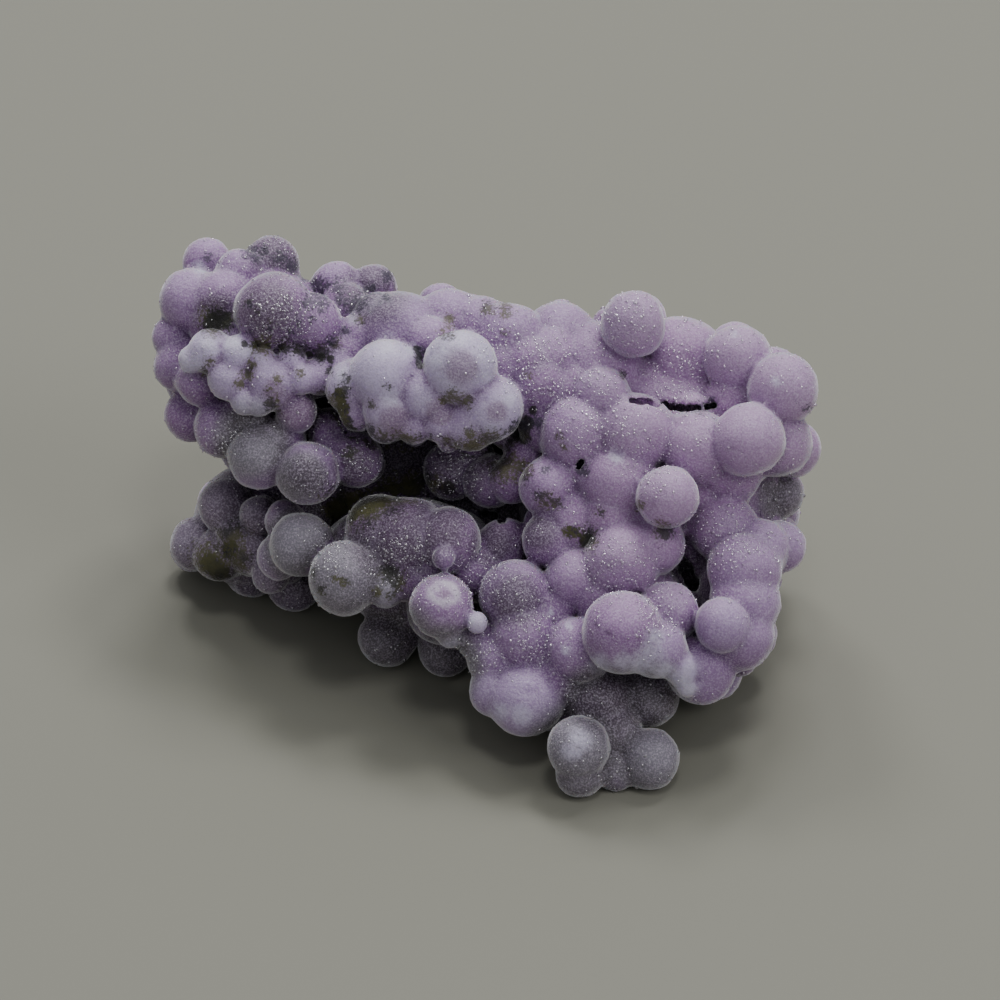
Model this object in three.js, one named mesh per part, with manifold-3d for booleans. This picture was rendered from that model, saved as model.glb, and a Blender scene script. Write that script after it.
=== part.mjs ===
// A grape agate: a small loose cluster of round chalcedony grapes, grown together on one lumpy mass.
// Millimetres, +Z up. The origin is on the table, under the middle of the cluster.

import * as THREE from "three";
import { mergeVertices } from "three/addons/utils/BufferGeometryUtils.js";
import Module from "manifold-3d";

// The cluster is described as somebody sees it who looks down on it from the front. A place has three
// numbers: millimetres across to the right, up the picture, and near towards the viewer.
const LOOK_DOWN_DEG = 38;
const EYE_POINT_HEIGHT = 13.7; // height above the table of the place 0, 0, 0
const MIDDLE_X = -0.98; // where the middle of the cluster lies before it is moved over the origin
const MIDDLE_Y = 4.28;
const GRAPE_SEAT = 0.3; // share of its radius by which a grape's centre stands off the mass below it
const FEET_WORN_OFF = 0.25; // how much of the lowest grapes is worn flat
const GRAPE_DETAIL = 1; // how finely an icosahedron is divided into a grape
const LOBE_DETAIL = 2;
const TURN_STEP = 2.4; // radians from the turn of one lump to that of the next
const SHORTEST_EDGE = 0.64; // shorter edges, left where two grapes meet, are closed up
const LEAST_FOLD = 0.3; // cosine of the largest turn that a face may make as an edge closes up
const WELD = 1e-4; // points that are closer than this are one point
const TABLE_WIDTH = 200;
const TABLE_DEPTH = 50;

// The mass under the grapes: lobes with a centre [across, up, near] and a half size along the same three.
const LOBES = [
  { centre: [9.3, 1.2, -7.6], half: [8.2, 9.6, 6.0] }, // right block with the large front face
  { centre: [-1.0, 7.5, -8.4], half: [8.0, 4.0, 5.6] }, // upper middle, behind the white ridge
  { centre: [-14.4, 9.2, -9.0], half: [4.4, 5.0, 4.6] }, // left lobe
  { centre: [-5.6, -2.9, -7.2], half: [5.6, 3.4, 4.6] }, // lower middle mound
  { centre: [-8.5, 4.0, -13.4], half: [8.0, 5.6, 4.6] }, // floor of the dark hollow
  { centre: [-15.2, -1.6, -14.2], half: [3.6, 3.8, 3.6] }, // left foot
  { centre: [-4.6, -4.9, -9.4], half: [4.6, 3.2, 3.2] }, // shaded base under the mound
  { centre: [8.2, -7.0, -2.8], half: [2.9, 3.6, 3.0] }, // lower right, leaning towards the viewer
  { centre: [14.0, -6.0, -4.0], half: [2.1, 4.2, 3.0] }, // column at the right edge
  { centre: [4.6, -10.4, -2.4], half: [4.2, 3.6, 2.4] }, // neck above the front foot
  { centre: [1.0, -0.6, -12.6], half: [11.0, 5.0, 4.8] }, // base at the back
];

// Grapes that can be seen from the front: [across, up, radius, extra distance towards the viewer].
const GRAPES = {
  leftLobe: [
    [-17.8, 14.4, 1.5, -0.9],
    [-13.9, 14.3, 1.74, -0.7],
    [-15.8, 13.7, 1.5, -0.6],
    [-18.6, 12.0, 2.04, 0.4],
    [-19.9, 9.9, 1.32, 0.2],
    [-13.7, 11.4, 2.34, -0.6],
    [-11.3, 10.7, 1.74, 0.7],
    [-9.9, 13.0, 1.5, 0.2],
    [-7.7, 12.9, 1.44, -0.6],
    [-9.3, 11.7, 1.5, 1.6],
    [-17.2, 10.7, 1.68, -2.0],
    [-19.3, 8.2, 1.68, 0.5],
    [-18.7, 5.2, 1.68, -0.3],
    [-16.7, 4.3, 1.8, 6.1],
    [-14.6, 2.6, 1.92, 4.7],
    [-11.6, 1.6, 1.92, 4.7],
    [-8.7, 2.5, 1.74, 2.8],
    [-12.2, 5.3, 1.26, 2.3],
    [-10.2, 4.3, 1.32, 2.1],
  ],
  whiteRidge: [
    [-17.5, 9.0, 1.32, 0.6],
    [-15.8, 8.8, 1.14, 0.2],
    [-13.7, 7.0, 1.62, 0.4],
    [-16.3, 7.3, 1.32, 0.5],
    [-11.0, 7.4, 1.08, 2.2],
    [-14.5, 5.9, 0.9, 1.5],
    [-8.8, 6.8, 1.68, 3.9],
    [-6.8, 7.4, 2.28, 1.5],
    [-2.4, 8.0, 2.22, 1.4],
    [-0.6, 5.5, 2.04, 1.5],
    [-4.5, 6.3, 1.68, 1.5],
    [-6.6, 5.5, 1.68, 3.0],
    [-3.5, 4.6, 1.2, 3.0],
    [-8.5, 5.3, 1.2, 5.4],
    [-1.8, 4.5, 1.56, 2.7],
  ],
  upperMounds: [
    [-6.0, 10.1, 2.58, 0.2],
    [-3.1, 10.7, 2.16, -0.9],
    [0.6, 9.7, 2.22, -1.0],
    [-8.3, 9.7, 1.62, 7.7],
    [0.1, 7.8, 1.92, -1.1],
  ],
  rightBlock: [
    [3.6, 9.8, 2.22, -1.1],
    [5.9, 8.0, 2.76, -1.3],
    [2.4, 6.9, 2.28, -0.7],
    [8.0, 10.6, 2.04, 4.0],
    [11.0, 8.5, 2.64, -2.3],
    [14.3, 8.5, 2.1, 2.3],
    [17.0, 6.7, 2.16, 5.1],
    [14.9, 3.6, 2.22, 2.5],
    [17.7, 3.1, 1.68, 2.5],
    [16.7, 0.5, 1.74, -2.3],
    [6.1, 6.4, 1.68, 0.7],
    [4.6, 4.0, 2.22, 0.5],
    [8.2, 4.0, 2.4, -0.3],
    [11.8, 3.1, 2.34, -0.3],
    [10.1, 0.2, 1.92, 2.0],
    [7.2, 1.1, 2.4, -0.3],
    [13.6, 1.9, 2.28, -1.0],
    [2.9, 0.8, 1.8, 1.5],
    [-0.6, 1.1, 1.68, 2.4],
    [-2.9, 1.8, 1.8, 1.6],
    [1.6, 2.6, 1.44, 1.1],
    [4.5, -1.3, 1.98, 0.5],
    [7.3, -3.6, 2.28, 1.6],
    [4.5, -4.7, 1.8, 3.1],
    [0.9, -5.8, 2.22, 10.9],
    [1.5, -8.3, 2.1, 0.4],
    [4.7, -9.0, 1.98, 0.2],
    [7.4, -7.9, 2.52, 1.5],
    [9.4, -8.9, 1.86, 2.0],
    [10.8, -10.1, 1.14, 9.1],
    [13.6, -1.8, 2.04, 0.3],
    [14.7, -4.2, 2.28, 0.4],
    [16.9, -2.8, 1.62, 4.5],
    [13.3, -7.5, 1.68, 2.7],
    [14.3, -8.2, 2.16, 1.0],
    [12.1, -10.1, 2.16, 7.0],
    [10.1, -6.8, 1.86, 0.6],
  ],
  lowerMound: [
    [-7.2, -1.8, 2.16, -1.4],
    [-3.1, -2.4, 2.04, 0.3],
    [0.2, -3.0, 1.86, 3.6],
    [-3.4, -3.5, 0.66, 2.6],
    [-3.5, -6.4, 1.98, 5.7],
    [-3.0, -8.0, 0.9, 8.5],
    [-1.4, -7.3, 0.72, 9.5],
    [-12.0, -2.7, 1.98, 7.1],
    [-9.4, -4.7, 2.22, 1.6],
    [-6.9, -5.3, 1.2, 1.2],
    [-13.3, -3.4, 1.44, 4.4],
    [-13.0, -1.3, 1.32, 3.8],
    [-5.4, -4.5, 1.68, -0.4],
    [-1.5, -4.6, 1.68, 1.4],
    [-0.3, -9.5, 1.74, 0.9],
    [-1.2, -8.4, 1.44, 7.6],
    [1.5, -12.0, 2.28, 0.3],
    [-0.2, -11.4, 1.74, 1.0],
    [3.3, -10.7, 1.74, -0.8],
  ],
  frontFoot: [
    [4.7, -14.8, 1.92, 3.4],
    [8.9, -11.8, 1.92, 0.2],
    [6.0, -12.1, 1.86, -0.7],
    [6.9, -14.0, 1.62, 1.7],
  ],
  shadedBase: [
    [-18.5, -2.7, 1.68, 0.0],
    [-16.7, -0.3, 1.68, 0.0],
    [-17.1, -3.4, 1.62, 0.0],
    [-15.0, -3.0, 1.68, 0.1],
  ],
};

// Grapes that the cluster stands on: [across, up, radius]. The table gives how near they are.
const FEET = [
  [4.8, -16.4, 1.5],
  [9.0, -15.5, 1.85],
  [6.9, -16.1, 1.3],
  [-6.8, -8.4, 1.8],
  [-3.3, -9.1, 1.7],
  [-15.2, -4.4, 1.6],
  [-12.6, -5.2, 1.7],
  [12.0, -3.8, 2.1],
  [4.0, -4.4, 1.9],
  [1.0, -0.7, 2.2],
  [-9.5, -0.2, 2.5],
];

// Grapes of the hidden sides: the largest of these radii that has room, and how close two may come.
const HIDDEN_RADII = [2.8, 2.2, 1.7];
const HIDDEN_SPACING = 0.86; // share of the sum of the two radii
const HIDDEN_RIM = 0.75; // share of its radius out to which nothing of a hidden grape shows from the front
const TRIES_PER_LOBE = 120;
const BURIED = 0.9; // no hidden grape's centre lies within this share of a lobe's size
const GOLDEN_ANGLE = Math.PI * (3 - Math.sqrt(5));

const lookDown = THREE.MathUtils.degToRad(LOOK_DOWN_DEG);

// Turns the picture's across, up and near into the part's X, Y and Z.
const standUp = new THREE.Matrix4()
  .makeTranslation(-MIDDLE_X, -MIDDLE_Y, EYE_POINT_HEIGHT)
  .multiply(new THREE.Matrix4().makeRotationX(Math.PI / 2 - lookDown));

// How near the viewer the mass comes on the line of sight through a place. A line that misses every lobe
// gets the middle depth of the lobe that it passes closest to.
function massTowardsViewer(across, up) {
  let nearest = -Infinity;
  let closest = Infinity;
  let fallback = 0;
  for (const { centre, half } of LOBES) {
    const off = Math.hypot((across - centre[0]) / half[0], (up - centre[1]) / half[1]);
    if (off < 1) nearest = Math.max(nearest, centre[2] + half[2] * Math.sqrt(1 - off * off));
    if (off < closest) {
      closest = off;
      fallback = centre[2];
    }
  }
  return nearest > -Infinity ? nearest : fallback;
}

function seenGrape([across, up, radius, extra]) {
  const near = massTowardsViewer(across, up) + GRAPE_SEAT * radius + extra;
  return { place: new THREE.Vector3(across, up, near), radius };
}

function footGrape([across, up, radius]) {
  const height = radius - FEET_WORN_OFF - EYE_POINT_HEIGHT;
  const near = (height - up * Math.cos(lookDown)) / Math.sin(lookDown);
  return { place: new THREE.Vector3(across, up, near), radius };
}

// True where the inner part of a grape lies wholly behind what is already seen from the front.
function hiddenFromFront(place, radius, seen) {
  const covered = (across, up) =>
    seen.some((g) => Math.hypot(across - g.place.x, up - g.place.y) < g.radius && g.place.z > place.z);
  for (let k = 0; k < 8; k++) {
    const turn = (k * Math.PI) / 4;
    const reach = HIDDEN_RIM * radius;
    if (!covered(place.x + reach * Math.cos(turn), place.y + reach * Math.sin(turn))) return false;
  }
  return covered(place.x, place.y);
}

// How far a place lies from a lobe's centre, 1 on its surface.
function depthIn({ centre, half }, place) {
  return Math.hypot(...place.toArray().map((value, k) => (value - centre[k]) / half[k]));
}

// Grapes on the back and the underside, set round each lobe on a golden spiral where there is room.
function hiddenGrapes(seen) {
  const placed = [];
  const fits = ({ place, radius }) =>
    !LOBES.some((lobe) => depthIn(lobe, place) < BURIED) &&
    place.clone().applyMatrix4(standUp).z > radius &&
    ![...seen, ...placed].some((g) => g.place.distanceTo(place) < HIDDEN_SPACING * (g.radius + radius)) &&
    hiddenFromFront(place, radius, seen);
  for (const { centre, half } of LOBES) {
    for (let k = 0; k < TRIES_PER_LOBE; k++) {
      const along = 1 - (2 * k + 1) / TRIES_PER_LOBE;
      const ring = Math.sqrt(1 - along * along);
      const turn = k * GOLDEN_ANGLE;
      const out = new THREE.Vector3(ring * Math.cos(turn), ring * Math.sin(turn), along);
      const surface = new THREE.Vector3(...half).multiply(out).add(new THREE.Vector3(...centre));
      const tries = HIDDEN_RADII.map((radius) => ({
        place: surface.clone().addScaledVector(out, GRAPE_SEAT * radius),
        radius,
      }));
      const grape = tries.find(fits);
      if (grape) placed.push(grape);
    }
  }
  return placed;
}

const front = [...Object.values(GRAPES).flat().map(seenGrape), ...FEET.map(footGrape)];
const grapes = [...front, ...hiddenGrapes(front)];

const wasm = await Module();
wasm.setup();

// A closed three.js geometry as a solid in the part's frame.
function solidOf(geometry, matrix) {
  geometry.deleteAttribute("normal");
  geometry.deleteAttribute("uv");
  const merged = mergeVertices(geometry.applyMatrix4(matrix), WELD);
  return new wasm.Manifold(
    new wasm.Mesh({
      numProp: 3,
      vertProperties: merged.getAttribute("position").array,
      triVerts: new Uint32Array(merged.index.array),
    }),
  );
}

// One round lump, turned by its own angle so that no two lumps have faces in one plane.
function lump(place, half, detail, turn) {
  const matrix = new THREE.Matrix4()
    .makeTranslation(...place)
    .multiply(new THREE.Matrix4().makeScale(...half))
    .multiply(new THREE.Matrix4().makeRotationFromEuler(new THREE.Euler(turn, 2 * turn, 3 * turn)));
  return solidOf(new THREE.IcosahedronGeometry(1, detail), matrix.premultiply(standUp));
}

const lumps = [
  ...LOBES.map(({ centre, half }) => ({ centre, half, detail: LOBE_DETAIL })),
  ...grapes.map(({ place, radius }) => ({
    centre: place.toArray(),
    half: [radius, radius, radius],
    detail: GRAPE_DETAIL,
  })),
].map(({ centre, half, detail }, i) => lump(centre, half, detail, i * TURN_STEP));
const grown = lumps.reduce((whole, next) => whole.add(next));

const tableBox = new THREE.BoxGeometry(TABLE_WIDTH, TABLE_WIDTH, TABLE_DEPTH);
const belowTable = solidOf(tableBox, new THREE.Matrix4().makeTranslation(0, 0, -TABLE_DEPTH / 2));
const cluster = grown.subtract(belowTable);

// Draws the ends of each short edge together, from the shortest up, wherever the surface stays closed and
// no face next to it turns over.
function closeShortEdges(points, faces, shortest) {
  const around = points.map(() => new Set());
  faces.forEach((face, f) => face.forEach((corner) => around[corner].add(f)));
  const neighbours = (corner) =>
    new Set([...around[corner]].flatMap((f) => faces[f]).filter((other) => other !== corner));
  const normal = (corners, moved, to) => {
    const [a, b, c] = corners.map((corner) => (moved.includes(corner) ? to : points[corner]));
    return new THREE.Vector3().subVectors(b, a).cross(new THREE.Vector3().subVectors(c, a)).normalize();
  };
  const onTable = (corner) => points[corner].z < WELD;
  let closed = true;
  while (closed) {
    closed = false;
    const edges = faces
      .flatMap((face) => (face ? face.map((a, k) => [a, face[(k + 1) % 3]]) : []))
      .filter(([a, b]) => a < b)
      .map(([a, b]) => ({ a, b, length: points[a].distanceTo(points[b]) }))
      .filter(({ length }) => length < shortest)
      .sort((one, other) => one.length - other.length);
    for (const { a, b } of edges) {
      const shared = [...around[a]].filter((f) => around[b].has(f));
      if (shared.length !== 2 || points[a].distanceTo(points[b]) >= shortest) continue;
      if (onTable(a) !== onTable(b)) continue;
      const nextToB = neighbours(b);
      if ([...neighbours(a)].filter((corner) => nextToB.has(corner)).length !== 2) continue;
      const middle = new THREE.Vector3().addVectors(points[a], points[b]).multiplyScalar(0.5);
      const others = [...around[a], ...around[b]].filter((f) => !shared.includes(f));
      const fold = (f) => normal(faces[f], [], middle).dot(normal(faces[f], [a, b], middle));
      if (others.some((f) => fold(f) < LEAST_FOLD)) continue;
      points[a] = middle;
      for (const f of shared) {
        faces[f].forEach((corner) => around[corner].delete(f));
        faces[f] = null;
      }
      for (const f of around[b]) {
        faces[f] = faces[f].map((corner) => (corner === b ? a : corner));
        around[a].add(f);
      }
      around[b].clear();
      closed = true;
    }
  }
  return faces.filter((face) => face);
}

// The faces that hang together with the first one. What is left out lines sealed pockets between grapes.
function outerSkin(points, faces) {
  const around = points.map(() => []);
  faces.forEach((face) => face.forEach((corner) => around[corner].push(face)));
  const skin = new Set([faces[0]]);
  for (const face of skin) face.forEach((corner) => around[corner].forEach((next) => skin.add(next)));
  return [...skin];
}

const { vertProperties, triVerts } = cluster.getMesh();
const points = [];
for (let i = 0; i < vertProperties.length; i += 3) {
  points.push(new THREE.Vector3().fromArray(vertProperties, i));
}
const triangles = [];
for (let i = 0; i < triVerts.length; i += 3) {
  triangles.push([...triVerts.slice(i, i + 3)]);
}
const faces = outerSkin(points, closeShortEdges(points, triangles, SHORTEST_EDGE));

const geometry = new THREE.BufferGeometry().setFromPoints(faces.flat().map((corner) => points[corner]));
geometry.computeVertexNormals();

const chalcedony = new THREE.MeshStandardMaterial({ color: 0x9c88a8, roughness: 0.45, metalness: 0 });
const agate = new THREE.Mesh(geometry, chalcedony);
agate.name = "grape_agate";

const part = new THREE.Group();
part.add(agate);
export default part;
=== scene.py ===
# %% [markdown]
# # Grape agate
# A grape agate is purple chalcedony that grew as hundreds of round beads, its grapes, on one lumpy mass.
# The solid model has the right places and sizes, with coarse faces. Here the same grapes are drawn again as
# one fine skin, and get what makes the mineral: a translucent violet body that pales on every tip, a chalky
# white ridge, moss and soil in the hollows, and a coat of quartz crystals that show only by their glints.

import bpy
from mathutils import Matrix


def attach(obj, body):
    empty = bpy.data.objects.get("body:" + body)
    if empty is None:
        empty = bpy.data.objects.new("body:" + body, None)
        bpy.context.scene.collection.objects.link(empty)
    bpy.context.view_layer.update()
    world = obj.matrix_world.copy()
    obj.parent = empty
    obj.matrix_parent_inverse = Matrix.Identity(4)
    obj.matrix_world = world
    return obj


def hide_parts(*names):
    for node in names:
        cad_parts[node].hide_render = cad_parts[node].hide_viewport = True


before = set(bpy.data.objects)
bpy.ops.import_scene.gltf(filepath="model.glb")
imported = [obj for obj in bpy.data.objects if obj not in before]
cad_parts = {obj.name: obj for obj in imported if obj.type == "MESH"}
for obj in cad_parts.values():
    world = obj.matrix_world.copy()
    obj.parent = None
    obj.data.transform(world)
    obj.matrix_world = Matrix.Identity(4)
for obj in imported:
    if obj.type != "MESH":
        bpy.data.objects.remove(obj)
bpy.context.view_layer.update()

# %% [markdown]
# Sizes are in millimetres until a mesh is made, because a grape of 3.6 reads better than one of 0.0036.

# %% Tools and units
import math

import bpy
import numpy as np
import openvdb
from mathutils import Matrix, Vector

MM = 0.001

# %% [markdown]
# ## Where things are
# A cluster this irregular is easiest to describe as somebody sees it who looks down on it from the front:
# so many millimetres across, up the picture, and near towards the eye. One turn and one shift bring such a
# place into the part's own frame, where the camera goes as well.

# %% From the picture to the part
LOOK_DOWN = math.radians(38)
EYE_POINT_HEIGHT = 13.7
MIDDLE_X = -0.98
MIDDLE_Y = 4.28


def to_part(places):
    """Turns rows of across, up, near into rows of x, y, z."""
    across, up, near = np.asarray(places, float).reshape(-1, 3).T
    x = across - MIDDLE_X
    y = up * math.sin(LOOK_DOWN) - near * math.cos(LOOK_DOWN) - MIDDLE_Y
    z = up * math.cos(LOOK_DOWN) + near * math.sin(LOOK_DOWN) + EYE_POINT_HEIGHT
    return np.stack([x, y, z], axis=1)


# %% [markdown]
# The camera stands far off behind a long lens, as for a close-up of a small stone, so that the picture has
# hardly any perspective. Its lens follows from how wide a strip of the floor it takes in.

# %% The camera
PICTURE_WIDTH = 60.0
CAMERA_DISTANCE = 800.0
SENSOR_WIDTH = 36.0

camera_data = bpy.data.cameras.new("camera")
camera_data.sensor_width = SENSOR_WIDTH
camera_data.lens = SENSOR_WIDTH * CAMERA_DISTANCE / PICTURE_WIDTH
camera_data.clip_start = 0.01
camera = bpy.data.objects.new("camera", camera_data)
bpy.context.collection.objects.link(camera)
eye = Vector(to_part([0, 0, CAMERA_DISTANCE])[0]) * MM
target = Vector(to_part([0, 0, 0])[0]) * MM
camera.location = eye
camera.rotation_euler = (target - eye).to_track_quat("-Z", "Y").to_euler()
bpy.context.scene.camera = camera
print("lens", round(camera_data.lens), "mm at", round((target - eye).length, 3), "m")

# %% [markdown]
# ## The mass and its grapes
# Under the grapes lies a lumpy mass. A few stretched balls, its lobes, are enough, because little of it
# shows. Each lobe has a centre and a half size, both as across, up, near. In the fine skin some lobes are
# a little fatter, so that no gap opens between their grapes, and the mound's is thinner, because finer
# grapes cover it.

# %% Lobes
LOBES = [
    ((9.3, 1.2, -7.6), (8.2, 9.6, 6.0)),  # right block with the large front face
    ((-1.0, 7.5, -8.4), (8.0, 4.0, 5.6)),  # upper middle, behind the white ridge
    ((-14.4, 9.2, -9.0), (4.4, 5.0, 4.6)),  # left lobe
    ((-5.6, -2.9, -7.2), (5.6, 3.4, 4.6)),  # lower middle mound
    ((-8.5, 4.0, -13.4), (8.0, 5.6, 4.6)),  # floor of the dark hollow
    ((-15.2, -1.6, -14.2), (3.6, 3.8, 3.6)),  # left foot
    ((-4.6, -4.9, -9.4), (4.6, 3.2, 3.2)),  # shaded base under the mound
    ((8.2, -7.0, -2.8), (2.9, 3.6, 3.0)),  # lower right, leaning towards the viewer
    ((14.0, -6.0, -4.0), (2.1, 4.2, 3.0)),  # column at the right edge
    ((4.6, -10.4, -2.4), (4.2, 3.6, 2.4)),  # neck above the front foot
    ((1.0, -0.6, -12.6), (11.0, 5.0, 4.8)),  # base at the back
]
LOBE_SWELLS = (0.0, 0.1, 0.0, -0.4, 0.0, 0.0, 0.1, 0.1, 0.1, 0.1, 0.2)

# %% [markdown]
# Grapes that can be seen from the front: across, up, radius, how much nearer than its seat on the mass,
# and how pale it is, from 0 for the deepest violet to 1 for frosted white.

# %% Grapes of the front
GRAPES = {
    "left lobe": [
        (-17.8, 14.4, 1.5, -0.9, 0.35), (-13.9, 14.3, 1.74, -0.7, 0.2), (-15.8, 13.7, 1.5, -0.6, 0.35),
        (-18.6, 12.0, 2.04, 0.4, 0.4), (-19.9, 9.9, 1.32, 0.2, 0.4), (-13.7, 11.4, 2.34, -0.6, 0.2),
        (-11.3, 10.7, 1.74, 0.7, 0.3), (-9.9, 13.0, 1.5, 0.2, 0.4), (-7.7, 12.9, 1.44, -0.6, 0.4),
        (-9.3, 11.7, 1.5, 1.6, 0.2), (-17.2, 10.7, 1.68, -2.0, 0.3), (-19.3, 8.2, 1.68, 0.5, 0.4),
        (-18.7, 5.2, 1.68, -0.3, 0.2), (-16.7, 4.3, 1.8, 6.1, 0.3), (-14.6, 2.6, 1.92, 4.7, 0.55),
        (-11.6, 1.6, 1.92, 4.7, 0.45), (-8.7, 2.5, 1.74, 2.8, 0.3), (-12.2, 5.3, 1.26, 2.3, 0.35),
        (-10.2, 4.3, 1.32, 2.1, 0.25),
    ],
    "white ridge": [
        (-17.5, 9.0, 1.32, 0.6, 0.85), (-15.8, 8.8, 1.14, 0.2, 0.9), (-13.7, 7.0, 1.62, 0.4, 0.7),
        (-16.3, 7.3, 1.32, 0.5, 0.75), (-11.0, 7.4, 1.08, 2.2, 0.7), (-14.5, 5.9, 0.9, 1.5, 0.75),
        (-8.8, 6.8, 1.68, 3.9, 0.8), (-6.8, 7.4, 2.28, 1.5, 0.9), (-2.4, 8.0, 2.22, 1.4, 0.95),
        (-0.6, 5.5, 2.04, 1.5, 0.85), (-4.5, 6.3, 1.68, 1.5, 0.9), (-6.6, 5.5, 1.68, 3.0, 0.75),
        (-3.5, 4.6, 1.2, 3.0, 0.7), (-8.5, 5.3, 1.2, 5.4, 0.6), (-1.8, 4.5, 1.56, 2.7, 0.75),
    ],
    "upper mounds": [
        (-6.0, 10.1, 2.58, 0.2, 0.5), (-3.1, 10.7, 2.16, -0.9, 0.4), (0.6, 9.7, 2.22, -1.0, 0.4),
        (-8.3, 9.7, 1.62, 7.7, 0.45), (0.1, 7.8, 1.92, -1.1, 0.3),
    ],
    "right block": [
        (3.6, 9.8, 2.22, -1.1, 0.45), (5.9, 8.0, 2.76, -1.3, 0.4), (2.4, 6.9, 2.28, -0.7, 0.25),
        (8.0, 10.6, 2.04, 4.0, 0.55), (11.0, 8.5, 2.64, -2.3, 0.3), (14.3, 8.5, 2.1, 2.3, 0.5),
        (17.0, 6.7, 2.16, 5.1, 0.5), (14.9, 3.6, 2.22, 2.5, 0.5), (17.7, 3.1, 1.68, 2.5, 0.3),
        (16.7, 0.5, 1.74, -2.3, 0.45), (6.1, 6.4, 1.68, 0.7, 0.45), (4.6, 4.0, 2.22, 0.5, 0.4),
        (8.2, 4.0, 2.4, -0.3, 0.45), (11.8, 3.1, 2.34, -0.3, 0.45), (10.1, 0.2, 1.92, 2.0, 0.5),
        (7.2, 1.1, 2.4, -0.3, 0.35), (13.6, 1.9, 2.28, -1.0, 0.4), (2.9, 0.8, 1.8, 1.5, 0.4),
        (-0.6, 1.1, 1.68, 2.4, 0.15), (-2.9, 1.8, 1.8, 1.6, 0.1), (1.6, 2.6, 1.44, 1.1, 0.3),
        (4.5, -1.3, 1.98, 0.5, 0.35), (7.3, -3.6, 2.28, 1.6, 0.4), (4.5, -4.7, 1.8, 3.1, 0.4),
        (0.9, -5.8, 2.22, 10.9, 0.4), (1.5, -8.3, 2.1, 0.4, 0.35), (4.7, -9.0, 1.98, 0.2, 0.35),
        (7.4, -7.9, 2.52, 1.5, 0.2), (9.4, -8.9, 1.86, 2.0, 0.5), (10.8, -10.1, 1.14, 9.1, 0.9),
        (13.6, -1.8, 2.04, 0.3, 0.4), (14.7, -4.2, 2.28, 0.4, 0.4), (16.9, -2.8, 1.62, 4.5, 0.5),
        (13.3, -7.5, 1.68, 2.7, 0.55), (14.3, -8.2, 2.16, 1.0, 0.4), (12.1, -10.1, 2.16, 7.0, 0.45),
        (10.1, -6.8, 1.86, 0.6, 0.45),
    ],
    "lower mound": [
        (-7.2, -1.8, 2.16, -1.4, 0.1), (-3.1, -2.4, 2.04, 0.3, 0.15), (0.2, -3.0, 1.86, 3.6, 0.15),
        (-3.4, -3.5, 0.66, 2.6, 0.5), (-3.5, -6.4, 1.98, 5.7, 0.25), (-3.0, -8.0, 0.9, 8.5, 0.8),
        (-1.4, -7.3, 0.72, 9.5, 0.85), (-12.0, -2.7, 1.98, 7.1, 0.6), (-9.4, -4.7, 2.22, 1.6, 0.45),
        (-6.9, -5.3, 1.2, 1.2, 0.75), (-13.3, -3.4, 1.44, 4.4, 0.5), (-13.0, -1.3, 1.32, 3.8, 0.4),
        (-5.4, -4.5, 1.68, -0.4, 0.3), (-1.5, -4.6, 1.68, 1.4, 0.3), (-0.3, -9.5, 1.74, 0.9, 0.45),
        (-1.2, -8.4, 1.44, 7.6, 0.4), (1.5, -12.0, 2.28, 0.3, 0.65), (-0.2, -11.4, 1.74, 1.0, 0.65),
        (3.3, -10.7, 1.74, -0.8, 0.35),
    ],
    "front foot": [
        (4.7, -14.8, 1.92, 3.4, 0.55), (8.9, -11.8, 1.92, 0.2, 0.25), (6.0, -12.1, 1.86, -0.7, 0.2),
        (6.9, -14.0, 1.62, 1.7, 0.3),
    ],
    "shaded base": [
        (-18.5, -2.7, 1.68, 0.0, 0.4), (-16.7, -0.3, 1.68, 0.0, 0.15), (-17.1, -3.4, 1.62, 0.0, 0.15),
        (-15.0, -3.0, 1.68, 0.1, 0.2),
    ],
}
print({group: len(grapes) for group, grapes in GRAPES.items()})

# %% [markdown]
# The cluster stands on its lowest grapes, worn a little flat. The floor fixes how near these are, so they
# have only across, up, radius and paleness.

# %% Grapes that touch the floor
FEET_WORN_OFF = 0.25
FEET = [
    (4.8, -16.4, 1.5, 0.35),
    (9.0, -15.5, 1.85, 0.6),
    (6.9, -16.1, 1.3, 0.45),
    (-6.8, -8.4, 1.8, 0.2),
    (-3.3, -9.1, 1.7, 0.25),
    (-15.2, -4.4, 1.6, 0.2),
    (-12.6, -5.2, 1.7, 0.25),
    (12.0, -3.8, 2.1, 0.4),
    (4.0, -4.4, 1.9, 0.4),
    (1.0, -0.7, 2.2, 0.5),
    (-9.5, -0.2, 2.5, 0.45),
]

# %% [markdown]
# A grape grows out of the mass where a line of sight meets it. Its middle lies a little outside, so that
# most of the ball shows while its root is buried. The ones that touch the floor rest on their worn flats.

# %% Seat every grape on the mass
GRAPE_SEAT = 0.3


def mass_towards_eye(across, up):
    """How near the mass comes on the line of sight through a place, or the nearest lobe's middle depth."""
    hits = []
    misses = []
    for centre, half in LOBES:
        off = math.hypot((across - centre[0]) / half[0], (up - centre[1]) / half[1])
        misses.append((off, centre[2]))
        if off < 1:
            hits.append(centre[2] + half[2] * math.sqrt(1 - off * off))
    return max(hits) if hits else min(misses)[1]


def seated(across, up, radius, extra):
    return (across, up, mass_towards_eye(across, up) + GRAPE_SEAT * radius + extra, radius)


def on_floor(across, up, radius):
    height = radius - FEET_WORN_OFF - EYE_POINT_HEIGHT
    return (across, up, (height - up * math.cos(LOOK_DOWN)) / math.sin(LOOK_DOWN), radius)


front = [seated(*grape[:4]) for group in GRAPES.values() for grape in group]
front += [on_floor(*foot[:3]) for foot in FEET]
paleness = [grape[4] for group in GRAPES.values() for grape in group] + [foot[3] for foot in FEET]
print(len(front), "grapes placed by hand")

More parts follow.
